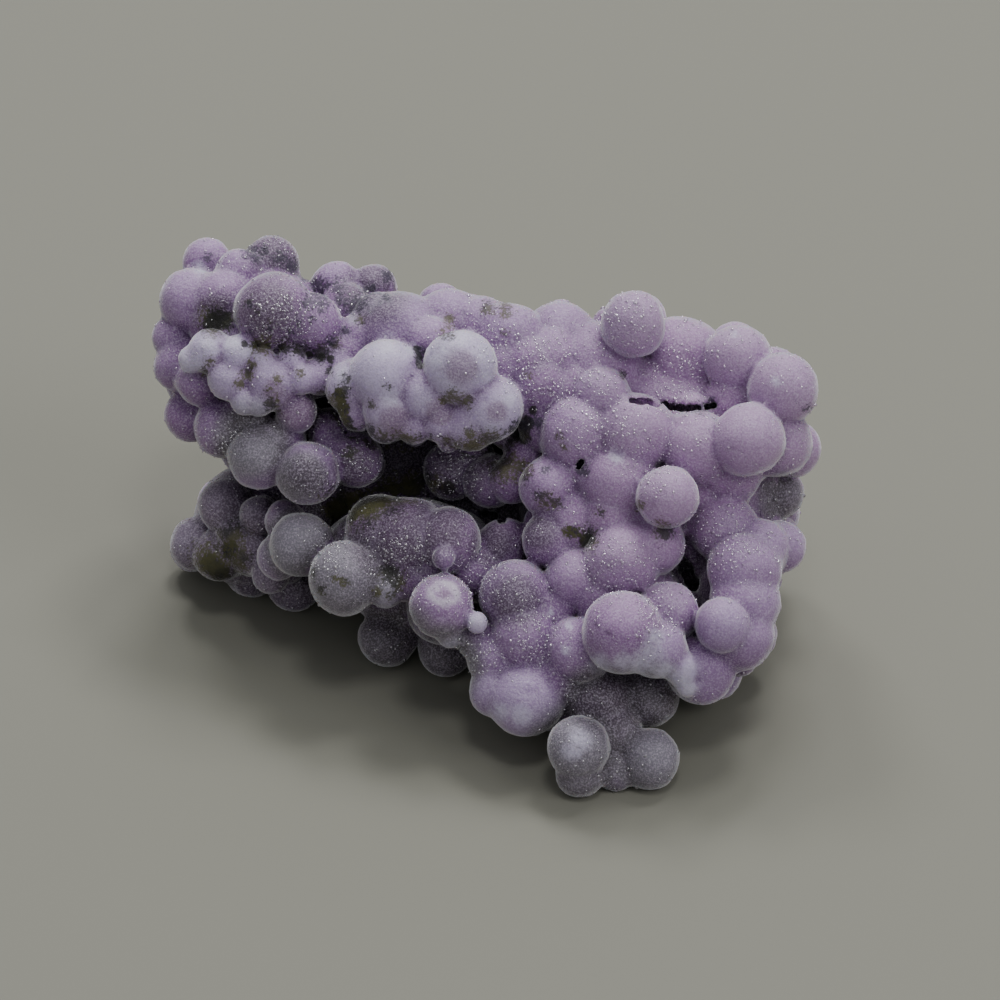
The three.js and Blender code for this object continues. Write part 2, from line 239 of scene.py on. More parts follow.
# %% [markdown]
# Between and beside the main grapes of the front are finer ones, which fill the creases so that the front
# reads as one crowded skin. They are too many for the solid model.

# %% Finer forms of the front
FINER = {
    "left lobe": [
        (-16.7, 12.1, 1.92, -1.5, 0.3), (-18.2, 7.2, 1.5, 0.6, 0.35), (-13.4, 3.6, 1.56, 3.5, 0.4),
        (-10.1, 2.9, 1.44, 2.2, 0.25), (-15.2, 5.3, 1.44, -0.2, 0.4), (-12.0, 9.3, 1.2, -0.6, 0.35),
        (-10.5, 9.0, 1.08, 1.4, 0.3), (-15.0, 9.9, 1.32, -2.1, 0.35),
    ],
    "white ridge": [
        (-18.6, 8.5, 0.84, 2.5, 0.9), (-14.3, 8.3, 0.9, 0.3, 0.85), (-15.4, 6.0, 0.9, 1.4, 0.8),
        (-12.6, 8.3, 0.9, 0.6, 0.8), (-12.0, 7.3, 0.96, 1.7, 0.7), (-7.0, 4.4, 1.08, 6.2, 0.65),
        (-5.2, 4.6, 1.2, 3.5, 0.7), (-3.1, 3.5, 0.66, 7.8, 0.6), (-9.6, 8.1, 1.2, 5.6, 0.7),
    ],
    "upper mounds": [
        (-7.3, 11.0, 1.62, 2.3, 0.65), (-1.2, 10.3, 1.98, -1.4, 0.4), (1.7, 8.1, 2.04, -0.8, 0.25),
        (-4.2, 9.3, 1.8, -0.2, 0.4), (-9.0, 8.9, 1.32, 6.0, 0.35),
    ],
    "right block": [
        (2.9, 8.3, 2.16, -0.8, 0.3), (4.3, 6.5, 2.16, -0.1, 0.25), (9.3, 7.7, 1.98, -4.0, 0.3),
        (16.6, 3.5, 2.16, 1.8, 0.45), (6.8, 4.3, 1.68, -0.1, 0.4), (9.8, 3.2, 1.56, -0.9, 0.45),
        (9.1, -0.2, 1.8, -0.3, 0.3), (-1.8, 2.7, 1.44, 2.4, 0.1), (0.7, 1.2, 1.44, 3.7, 0.25),
        (2.9, -2.4, 1.62, 2.5, 0.35), (6.6, -1.1, 1.8, 0.4, 0.3), (9.3, -2.7, 1.8, 0.7, 0.35),
        (2.7, 4.5, 1.56, 1.2, 0.25), (12.0, -1.3, 1.5, -1.1, 0.3), (15.7, -2.9, 1.8, 2.9, 0.5),
        (14.7, -6.1, 2.16, 0.5, 0.45), (5.7, 1.8, 1.8, -0.3, 0.35), (11.2, -11.0, 0.78, 8.9, 0.9),
        (3.1, -6.7, 1.68, 0.7, 0.35), (6.0, -6.0, 1.68, -0.1, 0.35), (12.0, 0.6, 1.68, -1.4, 0.3),
        (11.4, 5.1, 1.44, -1.1, 0.35), (14.0, 5.9, 1.8, -0.5, 0.3),
    ],
    "lower mound": [
        (-5.5, -2.4, 2.64, -1.5, 0.1), (-7.5, -3.7, 1.56, -0.7, 0.5), (-4.5, -4.5, 1.44, 0.0, 0.3),
        (2.7, -9.3, 1.56, -0.7, 0.35),
    ],
    "shaded base": [
        (-14.6, -0.9, 1.2, 1.4, 0.3), (-15.9, -2.1, 1.32, 0.3, 0.15), (-13.9, -4.5, 1.2, 2.9, 0.3),
    ],
}
finer = [seated(*grape[:4]) for group in FINER.values() for grape in group]
finer_paleness = [grape[4] for group in FINER.values() for grape in group]
drawn = front + finer
print(len(finer), "finer grapes of the front")

# %% [markdown]
# The back and the underside can't be seen in the picture, and a real cluster is grapes all over. So more of
# them are set round each lobe on a golden spiral, the largest that has room, wherever the grapes in front
# hide them. This is the same walk as in the solid model, so both have the same grapes.

# %% Grapes of the hidden sides
HIDDEN_RADII = (2.8, 2.2, 1.7)
HIDDEN_SPACING = 0.86
HIDDEN_RIM = 0.75
TRIES_PER_LOBE = 120
BURIED = 0.9
GOLDEN_ANGLE = math.pi * (3 - math.sqrt(5))
RIM_STEPS = 8

lobe_centres = np.array([centre for centre, half in LOBES])
lobe_halves = np.array([half for centre, half in LOBES])


def hidden_from_front(place, radius, seen):
    """True where the inner part of a grape lies wholly behind what is already seen."""
    nearer = seen[seen[:, 2] > place[2]]
    turns = np.arange(RIM_STEPS) * math.tau / RIM_STEPS
    rim = HIDDEN_RIM * radius * np.stack([np.cos(turns), np.sin(turns)], axis=1)
    for off in [*rim, np.zeros(2)]:
        away = np.hypot(*(nearer[:, :2] - place[:2] - off).T)
        if not (away < nearer[:, 3]).any():
            return False
    return True


def has_room(place, radius, seen, placed, spacing):
    """True for a grape that is neither buried, nor below the floor, crowded or seen from the front."""
    if (np.linalg.norm((place - lobe_centres) / lobe_halves, axis=1) < BURIED).any():
        return False
    if to_part(place)[0][2] <= radius:
        return False
    others = np.array([*seen, *placed])
    gaps = np.linalg.norm(others[:, :3] - place, axis=1) - spacing * (others[:, 3] + radius)
    return not (gaps < 0).any() and hidden_from_front(place, radius, seen)


def round_the_lobes(radii, spacing, seen, placed):
    """Adds to placed every grape that has room on a golden spiral round each lobe."""
    for centre, half in zip(lobe_centres, lobe_halves):
        for k in range(TRIES_PER_LOBE):
            along = 1 - (2 * k + 1) / TRIES_PER_LOBE
            ring = math.sqrt(1 - along * along)
            turn = k * GOLDEN_ANGLE
            out = np.array([ring * math.cos(turn), ring * math.sin(turn), along])
            for radius in radii:
                place = half * out + centre + out * GRAPE_SEAT * radius
                if has_room(place, radius, seen, placed, spacing):
                    placed.append((*place, radius))
                    break


seen = np.array(front)
hidden = []
round_the_lobes(HIDDEN_RADII, HIDDEN_SPACING, seen, hidden)
print(len(hidden), "hidden grapes")

# %% [markdown]
# Between the larger grapes of the hidden sides sit small ones, too fine for the solid model.

# %% Small grapes between the hidden ones
SMALL_RADII = (1.4, 1.1, 0.85)
SMALL_SPACING = 0.74

small = []
round_the_lobes(SMALL_RADII, SMALL_SPACING, np.array(drawn + hidden), small)
grapes = np.array(drawn + hidden + small)
centres = to_part(grapes[:, :3])
radii = grapes[:, 3]
print(len(small), "small grapes,", len(grapes), "in all")

# %% [markdown]
# ## The skin
# Real grapes melt into each other a little where they meet. Boolean joins would leave hard, slivered seams,
# and metaballs swell. A distance field gives full control: every point of a grid holds how far it is from
# the nearest grape, distances to two grapes are rounded where they are nearly equal, and the skin is drawn
# where the distance is nought. First come the few sums that such a field needs.

# %% Helpers for fields
FAR = 9.0
LATTICE = 32
LATTICE_SHIFT = 500


def smooth_min(a, b, width):
    """The smaller of two distances, rounded over where they differ by less than width."""
    h = np.maximum(width - np.abs(a - b), 0) / width
    return np.minimum(a, b) - h * h * width / 4


def cell_corners(part):
    """The eight corners of a grid cell, each with its share in a point that lies at part of the cell."""
    across, along, over = np.moveaxis(part, -1, 0)
    for i, j, k in np.ndindex(2, 2, 2):
        yield (i, j, k), np.abs(1 - i - across) * np.abs(1 - j - along) * np.abs(1 - k - over)


def cloud(points, size, seed):
    """Smooth noise from -1 to 1 with lumps of about that size, the same in every run."""
    lattice = np.random.default_rng(seed).uniform(-1, 1, (LATTICE,) * 3).astype(np.float32)
    spot = np.asarray(points, np.float32) / size + LATTICE_SHIFT
    corner = np.floor(spot).astype(int)
    part = spot - corner
    total = 0
    for step, share in cell_corners(part * part * (3 - 2 * part)):
        at = (corner + step) % LATTICE
        total = total + share * lattice[at[..., 0], at[..., 1], at[..., 2]]
    return total


def box_blur(block, reach):
    """The mean over a cube of that many cells each way, along one axis after the other."""
    width = 2 * reach + 1
    for axis in range(3):
        padded = np.pad(block, [(reach + 1, reach) if k == axis else (0, 0) for k in range(3)], mode="edge")
        sums = np.cumsum(padded, axis=axis, dtype=np.float64)
        length = block.shape[axis]
        upper = np.take(sums, np.arange(width, width + length), axis=axis)
        lower = np.take(sums, np.arange(length), axis=axis)
        block = ((upper - lower) / width).astype(np.float32)
    return block


def between(value, low, high):
    """0 at low, 1 at high, smooth between."""
    t = np.clip((value - low) / (high - low), 0, 1)
    return t * t * (3 - 2 * t)


# %% [markdown]
# A grid with cells of 0.2 mm holds the field. The lobes and the grapes go in one after the other, and where
# much stone lies round a point the skin is drawn a little further out, which fills the deepest pockets.

# %% Fill the grid
CELL = 0.2
MARGIN = 1.2
MELT = 0.14
FILL_REACH = 6
FILL_DEPTH = 0.08
FILL_FROM, FILL_TO = 0.5, 0.8
TINY = 1e-6


def share_of_stone(reach):
    """How much of the neighbourhood of every grid point is stone, weighed towards the middle."""
    stone = np.clip(0.5 - field / CELL, 0, 1)
    return box_blur(box_blur(stone, reach), reach)


lowest = (centres - radii[:, None]).min(axis=0) - MARGIN
highest = (centres + radii[:, None]).max(axis=0) + MARGIN
lowest[2] = -MARGIN
steps = np.ceil((highest - lowest) / CELL).astype(int) + 1
axes = [lowest[k] + CELL * np.arange(steps[k]) for k in range(3)]
field = np.full(steps, FAR, np.float32)


def window(centre, reach):
    """The slice of the grid within reach of a centre, and the grid points in it."""
    first = np.maximum(np.floor((centre - reach - lowest) / CELL).astype(int), 0)
    last = np.minimum(np.ceil((centre + reach - lowest) / CELL).astype(int) + 1, steps)
    cut = tuple(slice(a, b) for a, b in zip(first, last))
    return cut, np.stack(np.meshgrid(*[axis[c] for axis, c in zip(axes, cut)], indexing="ij"), axis=-1)


turn = np.array(Matrix.Rotation(math.pi / 2 - LOOK_DOWN, 3, "X"))
for centre, half, swell in zip(lobe_centres, lobe_halves, LOBE_SWELLS):
    cut, points = window(to_part(centre)[0], half.max() + MARGIN)
    inside = (points - to_part(centre)[0]) @ turn
    rim = np.linalg.norm(inside / half, axis=-1)
    distance = rim * (rim - 1) / np.maximum(np.linalg.norm(inside / half**2, axis=-1), TINY)
    distance = distance.astype(np.float32) - swell
    field[cut] = smooth_min(field[cut], distance, MELT)
for centre, radius in zip(centres, radii):
    cut, points = window(centre, radius + MARGIN)
    distance = np.linalg.norm(points - centre, axis=-1) - radius
    field[cut] = smooth_min(field[cut], distance.astype(np.float32), MELT)
field -= FILL_DEPTH * between(share_of_stone(FILL_REACH), FILL_FROM, FILL_TO)
print("grid", steps, "cells of", CELL, "mm")

# %% [markdown]
# No grape is a perfect ball: a slow noise swells and dents each a little, and the plane of the floor wears
# the lowest ones flat. A few cracks and pores of the front are too narrow to be left between grapes. Each
# is a row of short bores along the line of sight, given as across, up and radius.

# %% Swell, dent and bore
LUMP_SIZE = 2.1
LUMP_DEPTH = 0.11
DENT_SIZE = 0.7
DENT_DEPTH = 0.045
NOISE_REACH = 1.0
HOLLOWS = [
    (7.9, 5.95, 0.22), (8.4, 5.9, 0.28), (8.9, 5.85, 0.3), (9.4, 5.8, 0.3), (9.9, 5.7, 0.3),
    (10.4, 5.6, 0.28), (10.9, 5.55, 0.28), (11.4, 5.5, 0.28), (11.9, 5.5, 0.26), (12.4, 5.6, 0.24),
    (12.9, 5.7, 0.22), (4.7, 2.0, 0.22), (4.9, 2.3, 0.22), (11.0, -3.8, 0.4), (11.2, -4.2, 0.5),
    (11.4, -4.6, 0.5), (11.6, -5.0, 0.5), (11.8, -5.4, 0.45), (-0.9, -0.8, 0.3), (-0.4, -1.0, 0.35),
    (0.1, -1.2, 0.3),
]
HOLLOW_DEPTH = 1.4
NEAREST, FARTHEST = 15, -25

near_skin = np.abs(field) < NOISE_REACH
cells = np.argwhere(near_skin) * CELL + lowest
lumps = LUMP_DEPTH * cloud(cells, LUMP_SIZE, seed=4)
field[near_skin] += lumps + DENT_DEPTH * cloud(cells, DENT_SIZE, seed=5)
field = np.maximum(field, -axes[2][None, None, :].astype(np.float32))

away = to_part([0, 0, -1])[0] - to_part([0, 0, 0])[0]
for across, up, radius in HOLLOWS:
    line = [to_part([across, up, near])[0] for near in np.arange(NEAREST, FARTHEST, -CELL / 2)]
    cells = ((np.array(line) - lowest) / CELL).round().astype(int)
    on_grid = ((cells >= 0) & (cells < steps)).all(axis=1)
    met = [spot for spot, cell, ok in zip(line, cells, on_grid) if ok and field[tuple(cell)] < 0][0]
    cut, around = window(met, radius + MARGIN + HOLLOW_DEPTH)
    depth = np.clip((around - met) @ away, 0, HOLLOW_DEPTH)[..., None]
    distance = np.linalg.norm(around - met - depth * away, axis=-1).astype(np.float32)
    field[cut] = np.maximum(field[cut], radius - distance)
print(len(HOLLOWS), "bores in the cracks and pores")

# %% [markdown]
# The library that works inside the Remesh modifier draws the skin, with larger faces where it is nearly
# flat. Its squares are halved, so that all faces are triangles. A field with noise can also hold loose
# crumbs and closed bubbles, so only the largest body is kept: each point takes the lowest number among the
# points that it hangs together with.

# %% Draw the skin
STRAIGHTEN = 0.05

volume = openvdb.FloatGrid(FAR)
volume.copyFromArray(field)
points, triangles, quads = volume.convertToPolygons(isovalue=0.0, adaptivity=STRAIGHTEN)
faces = np.concatenate([triangles, quads[:, [0, 1, 2]], quads[:, [0, 2, 3]]])
points = points * CELL + lowest
points[:, 2] = np.maximum(points[:, 2], 0)

edges = np.concatenate([faces[:, [0, 1]], faces[:, [1, 2]], faces[:, [2, 0]]])
island = np.arange(len(points))
before = None
while before is None or (island != before).any():
    before = island.copy()
    lower = np.minimum(before[edges[:, 0]], before[edges[:, 1]])
    np.minimum.at(island, edges[:, 0], lower)
    np.minimum.at(island, edges[:, 1], lower)
    island = island[island]
kept = island == np.bincount(island).argmax()
faces = (np.cumsum(kept) - 1)[faces[kept[faces[:, 0]]]]
points = points[kept]
print(len(kept) - len(points), "points of loose crumbs and closed bubbles left out")
print(len(points), "points,", len(faces), "triangles")

# %% [markdown]
# The points and triangles become a mesh in one go, because a face at a time would take minutes. The sum of
# the pyramids from the origin to each face is the volume, and its sign tells which side is the outside.

# %% Make the mesh
def new_mesh(name, vertices, faces):
    """A mesh object from rows of points in millimetres and rows of corner numbers."""
    mesh = bpy.data.meshes.new(name)
    vertices = np.asarray(vertices, np.float32) * MM
    faces = np.asarray(faces, np.int32)
    sides = faces.shape[1]
    mesh.vertices.add(len(vertices))
    mesh.vertices.foreach_set("co", vertices.ravel())
    mesh.loops.add(faces.size)
    mesh.loops.foreach_set("vertex_index", faces.ravel())
    mesh.polygons.add(len(faces))
    mesh.polygons.foreach_set("loop_start", np.arange(0, faces.size, sides, dtype=np.int32))
    mesh.update(calc_edges=True)
    mesh.validate()
    piece = bpy.data.objects.new(name, mesh)
    bpy.context.collection.objects.link(piece)
    return piece


a, b, c = (points[faces[:, k]] for k in range(3))
volume_mm3 = np.einsum("ij,ij->i", a, np.cross(b, c)).sum() / 6
if volume_mm3 < 0:
    faces = faces[:, ::-1]
agate = new_mesh("agate_cluster", points, faces)
agate.data.shade_smooth()
normals = np.empty(points.size, np.float32)
agate.data.vertex_normals.foreach_get("vector", normals)
normals = normals.reshape(-1, 3)
print("volume", round(abs(volume_mm3)), "mm3")

# %% [markdown]
# ## What each point of the skin knows
# Colour on this skin follows its shape, partly as the mineral's own deeper violet in its hollows and
# partly as painted light and shade. Where grapes crowd round a point it is deep violet and darker, and
# where it stands out it is pale and lighter. A blur of the solid gives that: the share of stone in the
# neighbourhood, about a half on a flat place, less on a tip and more in a crease. A wide blur tells tips
# from hollows, and a close one finds the creases, which get painted shade.

# %% How far each point stands out
INNER_EDGE = 1.001
BLUR_NEAR = 4
TIP_SHARE, SUNK_SHARE = 0.3, 0.62
BLUR_CLOSE = 1
FLAT_SHARE, CREASE_SHARE = 0.51, 0.62


def sample(block, places):
    """The value of a grid at places between its points."""
    spot = np.clip((places - lowest) / CELL, 0, steps - INNER_EDGE)
    corner = np.floor(spot).astype(int)
    total = 0
    for step, share in cell_corners(spot - corner):
        total = total + share * block[tuple((corner + step).T)]
    return total


crowd_near = sample(share_of_stone(BLUR_NEAR), points)
rise = 1 - between(crowd_near, TIP_SHARE, SUNK_SHARE)
crowd_close = sample(share_of_stone(BLUR_CLOSE), points)
crease_shade = between(crowd_close, FLAT_SHARE, CREASE_SHARE)
print("crowd near", np.percentile(crowd_near, [5, 50, 95]).round(2))
print("crowd close", np.percentile(crowd_close, [5, 50, 95]).round(2))

# %% [markdown]
# How much sky a point sees sets painted light and shade: its colour is lighter where much sky is seen and
# darker where little is. From every point a few dozen lines go up and sideways through the grid, and the
# share of them that meet no stone is kept.

# %% How much sky each point sees
SKY_LINES = 40
SKY_STOPS = (0.7, 1.4, 2.2, 3.2, 4.5, 6.0, 8.0)
SKY_LIFT = 0.35
GRAZING = -0.1

sky = np.zeros(len(points), np.float32)
for k in range(SKY_LINES):
    height = (k + 0.5) / SKY_LINES
    ring_radius = math.sqrt(1 - height * height)
    turned = k * GOLDEN_ANGLE
    line = np.array([ring_radius * math.cos(turned), ring_radius * math.sin(turned), height])
    clear = normals @ line > GRAZING
    for stop in SKY_STOPS:
        spot = ((points + SKY_LIFT * normals + stop * line - lowest) / CELL).round().astype(int)
        inside = ((spot >= 0) & (spot < steps)).all(axis=1)
        spot = np.clip(spot, 0, steps - 1)
        clear &= ~(inside & (field[spot[:, 0], spot[:, 1], spot[:, 2]] < 0))
    sky += clear / SKY_LINES
print("sky", np.percentile(sky, [5, 25, 50, 75, 95]).round(2))

# %% [markdown]
# Every grape has its own paleness and greyness, and a point takes them from its grape, blended across the
# seam to the next. The seam itself gets a painted highlight, a thin pale line where the point sees the sky,
# standing in for light through a grape's translucent edge. The grapes near the floor are grey, and those of
# the hidden sides get random values.

# %% Which grape each point belongs to
SEAM_WIDTH = 0.22
BLEND_WIDTH = 0.12
HIDDEN_PALENESS = (0.25, 0.65)
HIDDEN_GREYNESS = (0, 0.3)
GREYNESS = {"front foot": 0.75, "shaded base": 0.7}
FEET_GREYNESS = 0.7

gaps = np.empty((len(points), len(grapes)), np.float32)
for k, (centre, radius) in enumerate(zip(centres, radii)):
    gaps[:, k] = np.linalg.norm(points - centre, axis=1) - radius
nearest_two = np.partition(gaps, 1, axis=1)[:, :2]
seam_highlight = 1 - between(nearest_two[:, 1] - nearest_two[:, 0], 0, SEAM_WIDTH)
weights = np.exp(-(gaps - nearest_two[:, :1]) / BLEND_WIDTH)
weights /= weights.sum(axis=1, keepdims=True)

draw = np.random.default_rng(11)
others = len(hidden) + len(small)
pale_of_grape = np.concatenate([paleness, finer_paleness, draw.uniform(*HIDDEN_PALENESS, others)])
greyness = [GREYNESS.get(group, 0.0) for group in GRAPES for _ in GRAPES[group]]
greyness += [FEET_GREYNESS] * len(FEET)
greyness += [GREYNESS.get(group, 0.0) for group in FINER for _ in FINER[group]]
grey_of_grape = np.concatenate([greyness, draw.uniform(*HIDDEN_GREYNESS, others)])
pale = weights @ pale_of_grape
grey = weights @ grey_of_grape
print("mean paleness", pale.mean().round(2), "and greyness", grey.mean().round(2))

# %% [markdown]
# The stone lay in the ground, and dirt still sits in its hollows: moss, green-black, along the under edge
# of the white ridge, dark specks, blue-black, at the back of the left lobe, and black soil in the deepest
# cracks. Other places are frosted white, worn through to the pinkish inside, or grey and clear. Some frost
# along the lower edges of the large front grapes is a painted highlight, the pale rim of light through
# their edges, and places where the cluster lies in shadow get painted shade, a soft dark violet. One grape
# has a white ring. All belong to the front alone, so places are given as across and up, sorted by how far
# such a mark reaches.

# %% Where dirt, frost, wear, painted highlight and painted shade lie
MOSS = {
    0.36: [(-14.5, 11.4), (-13.8, 10.7)],
    0.42: [(-6.7, 6.8), (-15.2, 11.9)],
    0.48: [
        (-9.9, -4.7), (-11.3, -4.3), (3.6, 3.8), (3.9, 3.2), (0.3, 10.1), (1.7, 7.5), (7.4, 7.6),
        (-14.0, 6.7), (-7.7, 5.7), (-3.4, 6.0),
    ],
    0.5: [(-4.8, 3.8), (-4.1, 3.8), (1.1, 4.1)],
    0.54: [
        (-17.8, 7.7), (-15.7, 7.0), (-7.4, -5.5), (-6.5, -5.7), (3.4, -0.2), (-9.3, 7.3), (-10.8, -5.4),
        (-9.4, -5.0), (-13.4, 7.3), (-12.0, 7.7), (-10.3, 7.8), (8.4, -0.3),
    ],
    0.6: [
        (-17.5, 8.3), (-15.0, 8.2), (2.3, 0.2), (4.1, -1.9), (-3.1, 10.9), (-8.4, 10.9), (6.0, -0.7),
        (-9.3, 4.5), (-8.3, 3.8), (-7.0, 3.4), (-6.2, 3.4), (-3.2, 3.6), (-2.5, 3.2), (-1.0, 3.0),
        (-0.1, 3.2),
    ],
    0.7: [(-8.9, 4.1), (-7.7, 3.5), (-5.5, 3.6), (-1.8, 3.1), (0.6, 3.5)],
    0.72: [
        (-7.8, 4.2), (-9.6, 5.1), (-15.2, 7.6), (-10.7, 6.3), (-2.0, 5.9), (-1.8, 4.1), (-0.8, 11.6),
        (-9.0, 2.9),
    ],
    0.78: [(2.8, 0.0)],
    0.8: [(-9.4, 6.6)],
    0.84: [(-12.0, 9.0), (-10.0, 9.3), (-9.7, 5.2), (-3.2, 10.1), (-2.9, 6.2), (0.3, 11.5), (-5.5, 0.6)],
    0.9: [(-9.6, 5.9)],
    0.96: [
        (-6.9, 3.6), (-5.9, 3.6), (-1.4, 3.2), (-16.4, 10.7), (-12.9, 9.2), (-10.2, 5.9), (-10.0, -0.3),
        (-6.1, -4.9), (-13.7, 5.8), (-7.2, 0.0),
    ],
    1.08: [(1.0, 4.1), (-14.3, 9.3), (-10.7, 8.9), (-6.7, -4.4), (9.8, -1.9)],
    1.2: [(1.3, 1.8), (-8.2, -0.7), (5.3, -2.3)],
    1.32: [(-0.6, 3.5), (-9.4, -1.0)],
    1.4: [(-4.5, 1.1)],
    1.44: [(-17.3, 10.8), (-8.9, 0.0), (-15.9, -3.6)],
    1.56: [(0.3, 2.0), (-17.0, -4.4), (-16.3, -2.2)],
    1.6: [(-5.4, 0.8)],
    1.7: [(-6.3, 0.5)],
    1.8: [(-17.7, -3.7), (-9.9, -0.3), (-7.2, 0.0)],
    1.9: [(-9.0, -0.7), (-8.1, -0.5)],
}
DARK_SPECKS = {
    0.42: [(-12.2, 10.8), (-11.4, 10.9), (-15.0, 10.2), (-13.9, 10.3), (-12.6, 10.1)],
    0.48: [(-15.1, 11.8), (12.7, 6.0), (18.5, 5.5)],
    0.54: [(-9.3, 10.2), (-17.7, 14.7), (-6.9, 12.2), (-4.8, 9.0), (2.7, 1.8)],
    0.6: [(-14.3, 15.2), (-11.6, 11.9), (-10.2, 9.6), (-4.9, 8.3), (5.0, 1.8)],
    0.72: [(-14.8, 14.6), (-6.8, 13.6), (2.2, 4.7), (12.0, 5.5)],
    0.84: [
        (-15.2, 15.2), (-13.4, 14.6), (-11.8, 13.4), (-9.5, 12.2), (-7.9, 12.7), (-10.7, 11.7),
        (1.3, 4.5),
    ],
    0.96: [(-12.5, 14.2), (-11.0, 13.1), (-9.8, 12.8)],
    1.08: [(-10.9, 12.4), (-8.6, 11.8)],
}
# Frost is partly painted highlight: the rows low on the large front grapes paint the pale rim of light
# through their edges.
FROST_AND_RIM_HIGHLIGHT = {
    0.48: [(14.1, 10.0), (4.1, -7.5), (3.1, -6.7)],
    0.54: [(3.9, -9.0)],
    0.6: [(-6.7, 12.2), (16.6, 7.1), (-1.8, -7.2)],
    0.72: [(-7.9, 11.6), (-7.3, 12.0), (-8.9, 11.0), (-1.0, 8.9), (-0.7, 7.3)],
    0.84: [(-18.2, 14.0), (7.0, 2.6), (0.6, 6.0)],
    0.96: [(-15.0, 8.9), (-3.8, 8.3), (-2.3, 9.7), (-5.4, 8.9), (-0.6, 4.1), (0.0, -12.7)],
    1.0: [(9.2, -8.2)],
    1.08: [(7.3, -9.6), (11.0, -11.2), (4.3, -15.0)],
    1.2: [(-18.5, 8.3), (-16.2, 9.6), (-3.1, 9.1), (-9.3, 7.5), (6.0, -9.8), (1.3, -12.9)],
    1.3: [(9.0, -9.1)],
    1.32: [(-17.5, 9.3), (9.8, -10.3), (-6.8, 9.3), (-6.5, 6.0), (4.8, -14.3)],
    1.44: [(8.4, -9.8)],
}
WORN = {
    0.8: [(-0.15, 5.3), (-13.6, 6.6)],
    1.0: [(-3.6, 5.3)],
    1.1: [(-6.3, 4.8)],
    1.3: [(-2.35, 7.95), (-12.2, 5.3)],
}
SOIL = {
    0.3: [(-14.0, 9.3)],
    0.35: [(-15.4, 9.4), (-14.8, 9.35), (-13.2, 9.2), (-12.3, 9.0), (-11.5, 8.8), (-5.0, 9.1)],
    0.4: [(-10.8, 8.6), (-10.2, 8.5), (-4.9, 8.6), (-4.8, 8.1), (2.0, 5.4)],
    0.6: [(-9.7, 6.3), (-9.3, 4.8), (-9.0, 4.1), (4.3, -1.9)],
    0.7: [(-4.2, 0.8), (-3.1, 0.7), (-9.5, 5.5), (1.6, 4.6), (1.4, 3.8), (5.2, -2.4)],
    0.8: [(-5.3, 0.7), (-16.4, -3.0), (-16.7, 10.9)],
    0.9: [(-6.3, 0.5), (-17.0, -4.4)],
    1.0: [(-7.2, 0.2), (-17.6, -3.9), (-17.3, 10.8)],
    1.1: [(-9.9, -0.6), (-9.0, -0.5), (-8.1, -0.2)],
}
# Painted shade: a soft dark violet where the cluster lies in shadow, as on the mound under the white ridge.
PAINTED_SHADE = {
    1.7: [(-11.6, 1.5), (-9.0, 2.0)],
    1.8: [(2.3, -1.8)],
    2.0: [(-17.0, 11.2), (-0.6, -2.6)],
    2.2: [(-1.0, 2.6)],
    2.4: [(0.9, -6.0), (-13.6, 15.0)],
    2.6: [(-5.0, -2.8), (-14.0, 11.6), (6.2, -12.0)],
    2.8: [(-2.7, 1.5)],
    3.0: [(-3.9, -1.5), (-7.5, 12.6)],
    3.2: [(-6.9, -1.8)],
}
GREY_PLACES = {
    1.6: [(-7.2, -5.0)],
    2.0: [(17.0, 0.2), (-12.0, 1.4)],
    3.0: [(8.9, -12.0), (6.0, -12.2), (-3.5, -9.8), (-15.0, 3.6)],
    3.2: [(-12.0, -2.7)],
    3.4: [(-9.4, -4.7), (9.2, -15.5)],
    4.0: [(4.6, -15.2), (-6.8, -9.0)],
}
RING = (-3.35, -5.6)
print(sum(len(places) for mark in (MOSS, DARK_SPECKS, SOIL) for places in mark.values()), "dirty places")

# %% [markdown]
# A mark holds only for points that nothing lies before. For that, the points are sorted into thin columns
# along the line of sight, and each is compared with the nearest one of its column.

# %% Mark the points of the front
BEHIND, IN_SIGHT = -2.0, -1.0
DIRT_SPREAD = 1.25
RING_SQUASH = 1.3
RING_INSIDE = (0.4, 0.65)
RING_OUTSIDE = (0.85, 1.15)
RING_MIDDLE = (0.25, 0.45)
GREY_STRENGTH = 0.92
GREY_FADE = (0, 0.4)

x, y, z = points.T
back_y = y + MIDDLE_Y
over_z = z - EYE_POINT_HEIGHT
at_across = x + MIDDLE_X
at_up = back_y * math.sin(LOOK_DOWN) + over_z * math.cos(LOOK_DOWN)
at_near = over_z * math.sin(LOOK_DOWN) - back_y * math.cos(LOOK_DOWN)
column = np.floor((at_across - at_across.min()) / CELL).astype(int)
row = np.floor((at_up - at_up.min()) / CELL).astype(int)
nearest = np.full((column.max() + 1, row.max() + 1), -np.inf)
np.maximum.at(nearest, (column, row), at_near)
in_front = between(at_near - nearest[column, row], BEHIND, IN_SIGHT)


def marked(places, spread=1):
    """1 in the middle of each place on the front, falling to 0 at its reach."""
    share = np.zeros(len(points))
    for reach in places:
        for across, up in places[reach]:
            share = np.maximum(share, 1 - np.hypot(at_across - across, at_up - up) / (spread * reach))
    return share * in_front


moss = marked(MOSS, DIRT_SPREAD)
specks = marked(DARK_SPECKS, DIRT_SPREAD)
from_ring = np.hypot(at_across - RING[0], (at_up - RING[1]) * RING_SQUASH)
ring = (between(from_ring, *RING_INSIDE) - between(from_ring, *RING_OUTSIDE)) * in_front
ring_middle = (1 - between(from_ring, *RING_MIDDLE)) * in_front
grey = np.maximum(grey, GREY_STRENGTH * between(marked(GREY_PLACES), *GREY_FADE))
print("share of the points in front", in_front.mean().round(2))

# %% [markdown]
# The right block is rosier than the rest, fading out to the left and below, and less so in the lower part
# of the column at its edge. With this, everything that a point knows is stored on the mesh, where the
# finish can read it by name.

